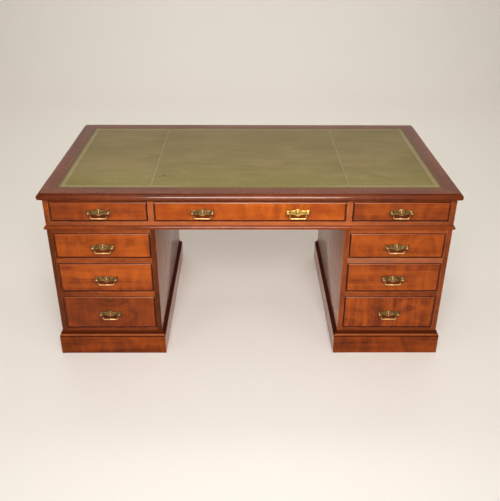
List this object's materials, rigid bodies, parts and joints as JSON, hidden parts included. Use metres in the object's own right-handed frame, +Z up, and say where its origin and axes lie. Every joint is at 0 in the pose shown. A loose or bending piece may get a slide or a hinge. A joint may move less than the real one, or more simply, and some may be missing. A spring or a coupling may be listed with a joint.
{
  "type": "partners desk",
  "caption": "Pedestal writing desk with a leather-lined moulded top, frieze and pedestal drawers with brass bail handles, rear cupboards and an open kneehole.",
  "frame": {"origin": "on the floor under the middle of the desk", "axes": "+X along the desk's length, the side with the pedestal drawers faces -Y, +Z up"},
  "size_m": [1.68, 0.9, 0.77],
  "materials": {
    "mahogany": "French polish",
    "pine": "bare, aged",
    "leather": "waxed hide, tooled border",
    "brass": "antique, lacquered"
  },
  "bodies": {
    "case": {"top_frame": "mahogany", "top_panel": "pine", "leather_panels": "leather", "frieze_ends": "mahogany", "frieze_frame": "mahogany", "waist_moulding": "mahogany", "left_pedestal_sides": "mahogany", "left_pedestal_boards": "pine", "left_pedestal_rails": "mahogany", "left_plinth": "mahogany", "right_pedestal_sides": "mahogany", "right_pedestal_boards": "pine", "right_pedestal_rails": "mahogany", "right_plinth": "mahogany", "drawer_runners": "pine", "cupboard_shelves": "pine", "door_hinge_leaves": "brass", "locating_dowels": "pine"},
    "frieze_drawer_left": {"frieze_drawer_left": "mahogany", "frieze_drawer_left_plate": "brass"},
    "frieze_drawer_left_bail": {"frieze_drawer_left_bail": "brass"},
    "frieze_drawer_centre": {"frieze_drawer_centre": "mahogany", "frieze_drawer_centre_plate": "brass"},
    "frieze_drawer_centre_left_bail": {"frieze_drawer_centre_left_bail": "brass"},
    "frieze_drawer_centre_right_bail": {"frieze_drawer_centre_right_bail": "brass"},
    "frieze_drawer_right": {"frieze_drawer_right": "mahogany", "frieze_drawer_right_plate": "brass"},
    "frieze_drawer_right_bail": {"frieze_drawer_right_bail": "brass"},
    "left_drawer_top": {"left_drawer_top": "mahogany", "left_drawer_top_plate": "brass"},
    "left_drawer_top_bail": {"left_drawer_top_bail": "brass"},
    "left_drawer_middle": {"left_drawer_middle": "mahogany", "left_drawer_middle_plate": "brass"},
    "left_drawer_middle_bail": {"left_drawer_middle_bail": "brass"},
    "left_drawer_bottom": {"left_drawer_bottom": "mahogany", "left_drawer_bottom_plate": "brass"},
    "left_drawer_bottom_bail": {"left_drawer_bottom_bail": "brass"},
    "right_drawer_top": {"right_drawer_top": "mahogany", "right_drawer_top_plate": "brass"},
    "right_drawer_top_bail": {"right_drawer_top_bail": "brass"},
    "right_drawer_middle": {"right_drawer_middle": "mahogany", "right_drawer_middle_plate": "brass"},
    "right_drawer_middle_bail": {"right_drawer_middle_bail": "brass"},
    "right_drawer_bottom": {"right_drawer_bottom": "mahogany", "right_drawer_bottom_plate": "brass"},
    "right_drawer_bottom_bail": {"right_drawer_bottom_bail": "brass"},
    "rear_drawer_left": {"rear_drawer_left": "mahogany", "rear_drawer_left_plate": "brass"},
    "rear_drawer_left_bail": {"rear_drawer_left_bail": "brass"},
    "rear_drawer_centre": {"rear_drawer_centre": "mahogany", "rear_drawer_centre_plate": "brass"},
    "rear_drawer_centre_left_bail": {"rear_drawer_centre_left_bail": "brass"},
    "rear_drawer_centre_right_bail": {"rear_drawer_centre_right_bail": "brass"},
    "rear_drawer_right": {"rear_drawer_right": "mahogany", "rear_drawer_right_plate": "brass"},
    "rear_drawer_right_bail": {"rear_drawer_right_bail": "brass"},
    "left_door": {"left_door": "mahogany", "left_door_brass": "brass"},
    "right_door": {"right_door": "mahogany", "right_door_brass": "brass"}
  },
  "joints": [
    {"name": "frieze_drawer_left_slide", "type": "slide", "parent": "case", "child": "frieze_drawer_left", "axis": [0, -1, 0], "range_m": [0, 0.3]},
    {"name": "frieze_drawer_left_bail_swing", "type": "hinge", "parent": "frieze_drawer_left", "child": "frieze_drawer_left_bail", "pos_m": [-0.603, -0.442, 0.686], "axis": [-1, 0, 0], "range_deg": [0, 95]},
    {"name": "frieze_drawer_centre_slide", "type": "slide", "parent": "case", "child": "frieze_drawer_centre", "axis": [0, -1, 0], "range_m": [0, 0.3]},
    {"name": "frieze_drawer_centre_left_bail_swing", "type": "hinge", "parent": "frieze_drawer_centre", "child": "frieze_drawer_centre_left_bail", "pos_m": [-0.19, -0.442, 0.686], "axis": [-1, 0, 0], "range_deg": [0, 95]},
    {"name": "frieze_drawer_centre_right_bail_swing", "type": "hinge", "parent": "frieze_drawer_centre", "child": "frieze_drawer_centre_right_bail", "pos_m": [0.19, -0.442, 0.686], "axis": [-1, 0, 0], "range_deg": [0, 95]},
    {"name": "frieze_drawer_right_slide", "type": "slide", "parent": "case", "child": "frieze_drawer_right", "axis": [0, -1, 0], "range_m": [0, 0.3]},
    {"name": "frieze_drawer_right_bail_swing", "type": "hinge", "parent": "frieze_drawer_right", "child": "frieze_drawer_right_bail", "pos_m": [0.603, -0.442, 0.686], "axis": [-1, 0, 0], "range_deg": [0, 95]},
    {"name": "left_drawer_top_slide", "type": "slide", "parent": "case", "child": "left_drawer_top", "axis": [0, -1, 0], "range_m": [0, 0.3]},
    {"name": "left_drawer_top_bail_swing", "type": "hinge", "parent": "left_drawer_top", "child": "left_drawer_top_bail", "pos_m": [-0.602, -0.442, 0.529], "axis": [-1, 0, 0], "range_deg": [0, 95]},
    {"name": "left_drawer_middle_slide", "type": "slide", "parent": "case", "child": "left_drawer_middle", "axis": [0, -1, 0], "range_m": [0, 0.3]},
    {"name": "left_drawer_middle_bail_swing", "type": "hinge", "parent": "left_drawer_middle", "child": "left_drawer_middle_bail", "pos_m": [-0.602, -0.442, 0.378], "axis": [-1, 0, 0], "range_deg": [0, 95]},
    {"name": "left_drawer_bottom_slide", "type": "slide", "parent": "case", "child": "left_drawer_bottom", "axis": [0, -1, 0], "range_m": [0, 0.3]},
    {"name": "left_drawer_bottom_bail_swing", "type": "hinge", "parent": "left_drawer_bottom", "child": "left_drawer_bottom_bail", "pos_m": [-0.602, -0.442, 0.2035], "axis": [-1, 0, 0], "range_deg": [0, 95]},
    {"name": "right_drawer_top_slide", "type": "slide", "parent": "case", "child": "right_drawer_top", "axis": [0, -1, 0], "range_m": [0, 0.3]},
    {"name": "right_drawer_top_bail_swing", "type": "hinge", "parent": "right_drawer_top", "child": "right_drawer_top_bail", "pos_m": [0.602, -0.442, 0.529], "axis": [-1, 0, 0], "range_deg": [0, 95]},
    {"name": "right_drawer_middle_slide", "type": "slide", "parent": "case", "child": "right_drawer_middle", "axis": [0, -1, 0], "range_m": [0, 0.3]},
    {"name": "right_drawer_middle_bail_swing", "type": "hinge", "parent": "right_drawer_middle", "child": "right_drawer_middle_bail", "pos_m": [0.602, -0.442, 0.378], "axis": [-1, 0, 0], "range_deg": [0, 95]},
    {"name": "right_drawer_bottom_slide", "type": "slide", "parent": "case", "child": "right_drawer_bottom", "axis": [0, -1, 0], "range_m": [0, 0.3]},
    {"name": "right_drawer_bottom_bail_swing", "type": "hinge", "parent": "right_drawer_bottom", "child": "right_drawer_bottom_bail", "pos_m": [0.602, -0.442, 0.2035], "axis": [-1, 0, 0], "range_deg": [0, 95]},
    {"name": "rear_drawer_left_slide", "type": "slide", "parent": "case", "child": "rear_drawer_left", "axis": [0, 1, 0], "range_m": [0, 0.3]},
    {"name": "rear_drawer_left_bail_swing", "type": "hinge", "parent": "rear_drawer_left", "child": "rear_drawer_left_bail", "pos_m": [-0.603, 0.442, 0.686], "axis": [1, 0, 0], "range_deg": [0, 95]},
    {"name": "rear_drawer_centre_slide", "type": "slide", "parent": "case", "child": "rear_drawer_centre", "axis": [0, 1, 0], "range_m": [0, 0.3]},
    {"name": "rear_drawer_centre_left_bail_swing", "type": "hinge", "parent": "rear_drawer_centre", "child": "rear_drawer_centre_left_bail", "pos_m": [-0.19, 0.442, 0.686], "axis": [1, 0, 0], "range_deg": [0, 95]},
    {"name": "rear_drawer_centre_right_bail_swing", "type": "hinge", "parent": "rear_drawer_centre", "child": "rear_drawer_centre_right_bail", "pos_m": [0.19, 0.442, 0.686], "axis": [1, 0, 0], "range_deg": [0, 95]},
    {"name": "rear_drawer_right_slide", "type": "slide", "parent": "case", "child": "rear_drawer_right", "axis": [0, 1, 0], "range_m": [0, 0.3]},
    {"name": "rear_drawer_right_bail_swing", "type": "hinge", "parent": "rear_drawer_right", "child": "rear_drawer_right_bail", "pos_m": [0.603, 0.442, 0.686], "axis": [1, 0, 0], "range_deg": [0, 95]},
    {"name": "left_door_swing", "type": "hinge", "parent": "case", "child": "left_door", "pos_m": [-0.7967, 0.4336, 0.36], "axis": [0, 0, 1], "range_deg": [0, 105]},
    {"name": "right_door_swing", "type": "hinge", "parent": "case", "child": "right_door", "pos_m": [0.7967, 0.4336, 0.36], "axis": [0, 0, -1], "range_deg": [0, 105]}
  ]
}
